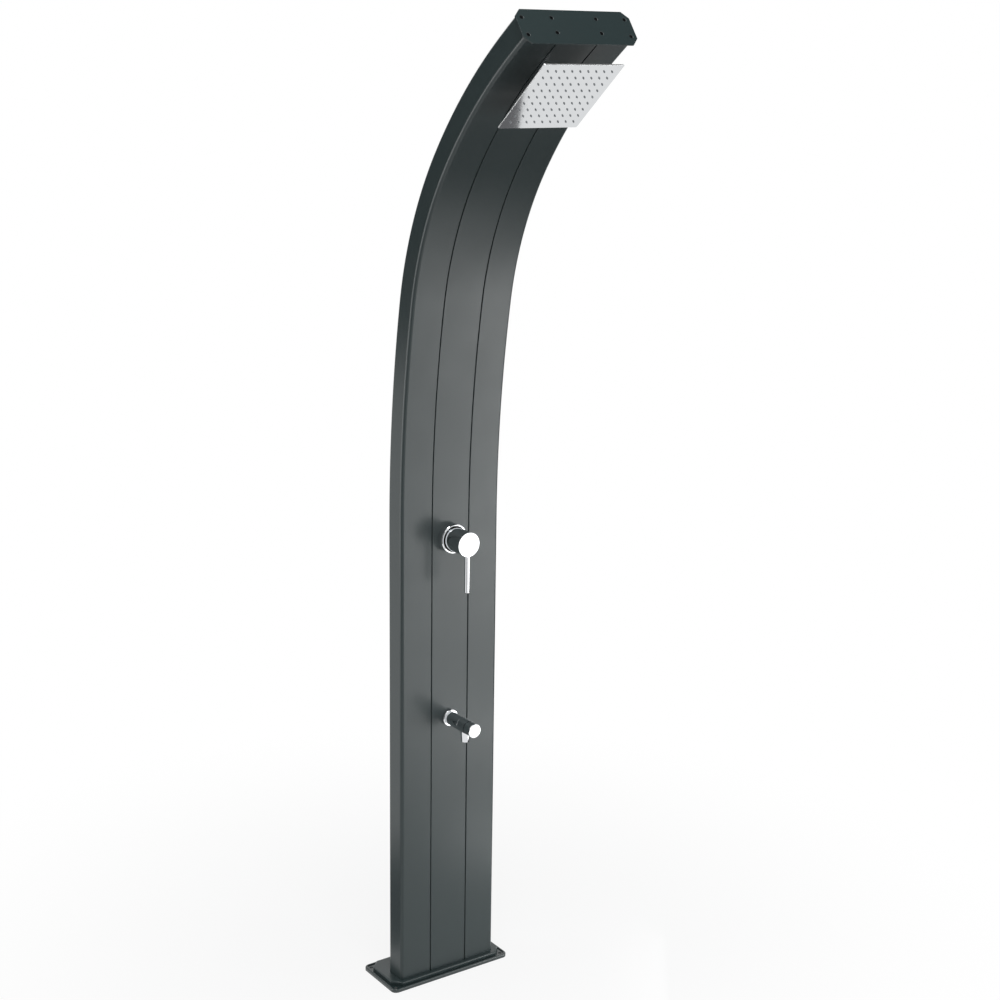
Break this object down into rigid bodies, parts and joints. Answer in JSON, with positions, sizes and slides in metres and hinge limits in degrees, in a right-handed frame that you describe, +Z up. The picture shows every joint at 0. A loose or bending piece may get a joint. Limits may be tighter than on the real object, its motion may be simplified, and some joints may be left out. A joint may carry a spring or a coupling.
{
  "type": "outdoor shower post",
  "caption": "Curved hollow outdoor shower post on an anchored base plate, with a lever mixer, a foot tap with a short spout and a square overhead plate on a ball joint.",
  "frame": {"origin": "centre of the four anchor holes, on the floor", "axes": "+X to the right seen from the front, +Y to the back, +Z up; the post leans towards -Y at the top"},
  "size_m": [0.338, 0.5943, 2.3021],
  "materials": {
    "coated_aluminium": "gloss",
    "coated_steel": "gloss",
    "chrome": "polished",
    "brass": "satin",
    "stainless_steel": "satin",
    "black_steel": "satin",
    "black_rubber": "matte",
    "nozzle_silicone": "matte",
    "ceramic": "polished",
    "white_plastic": "satin"
  },
  "bodies": {
    "post": {"base_plate": "coated_steel", "base_cover": "coated_aluminium", "base_gasket": "black_rubber", "base_screws": "stainless_steel", "left_profile": "coated_aluminium", "right_profile": "coated_aluminium", "front_panel": "coated_aluminium", "rear_panel": "coated_aluminium", "top_gasket": "black_rubber", "top_cap": "coated_aluminium", "top_screws": "black_steel", "mixer_body": "brass", "mixer_rosette": "chrome", "rosette_seal": "black_rubber", "mixer_dome": "chrome", "cartridge_housing": "white_plastic", "cartridge_nut": "brass", "ceramic_seat": "ceramic", "tap_rosette": "chrome", "tap_seal": "black_rubber", "tap_extension": "chrome", "tap_backnut": "brass", "tap_body": "chrome", "tap_headwork": "brass", "spout_aerator": "stainless_steel", "head_nipple": "chrome", "head_lock_nut": "brass", "inlet_connector": "stainless_steel", "inlet_nut": "brass", "check_valve": "white_plastic", "cold_manifold": "brass", "cold_pipe": "stainless_steel", "tap_pipe": "stainless_steel", "hot_pipe": "stainless_steel", "head_pipe": "stainless_steel", "upper_crossover": "brass", "union_nuts": "brass", "drain_plug": "stainless_steel"},
    "mixer_core": {"cartridge_guide": "white_plastic", "pivot_pin": "stainless_steel"},
    "mixer_disc": {"ceramic_slider": "ceramic"},
    "mixer_grip": {"cartridge_stem": "brass", "mixer_handle": "chrome", "mixer_lever": "chrome", "handle_screw": "stainless_steel"},
    "tap_grip": {"tap_stem": "brass", "tap_knob": "chrome", "knob_screw": "stainless_steel"},
    "head_ring": {"ball_liner": "white_plastic"},
    "head": {"ball_nut": "chrome", "head_hub": "stainless_steel", "head_back_plate": "stainless_steel", "head_face_plate": "stainless_steel", "head_nozzles": "nozzle_silicone"}
  },
  "joints": [
    {"name": "mixer_turn", "type": "hinge", "parent": "post", "child": "mixer_core", "pos_m": [0, -0.071, 1.123], "axis": [0, -1, 0], "range_deg": [-45, 45]},
    {"name": "mixer_lift", "type": "hinge", "parent": "mixer_core", "child": "mixer_grip", "pos_m": [0, -0.071, 1.123], "axis": [-1, 0, 0], "range_deg": [0, 20]},
    {"name": "disc_slide", "type": "slide", "parent": "mixer_core", "child": "mixer_disc", "axis": [0, 0, -1], "range_m": [0, 0.0046]},
    {"name": "tap_turn", "type": "hinge", "parent": "post", "child": "tap_grip", "pos_m": [0, -0.15, 0.676], "axis": [0, -1, 0], "range_deg": [0, 90]},
    {"name": "head_tilt", "type": "hinge", "parent": "post", "child": "head_ring", "pos_m": [0, -0.42543, 2.15633], "axis": [1, 0, 0], "range_deg": [-12, 12]},
    {"name": "head_roll", "type": "hinge", "parent": "head_ring", "child": "head", "pos_m": [0, -0.42543, 2.15633], "axis": [0, -0.7716, 0.6362], "range_deg": [-12, 12]}
  ],
  "couplings": [
    {"joint": "disc_slide", "follows": "mixer_lift", "m_per_rad": 0.013}
  ]
}
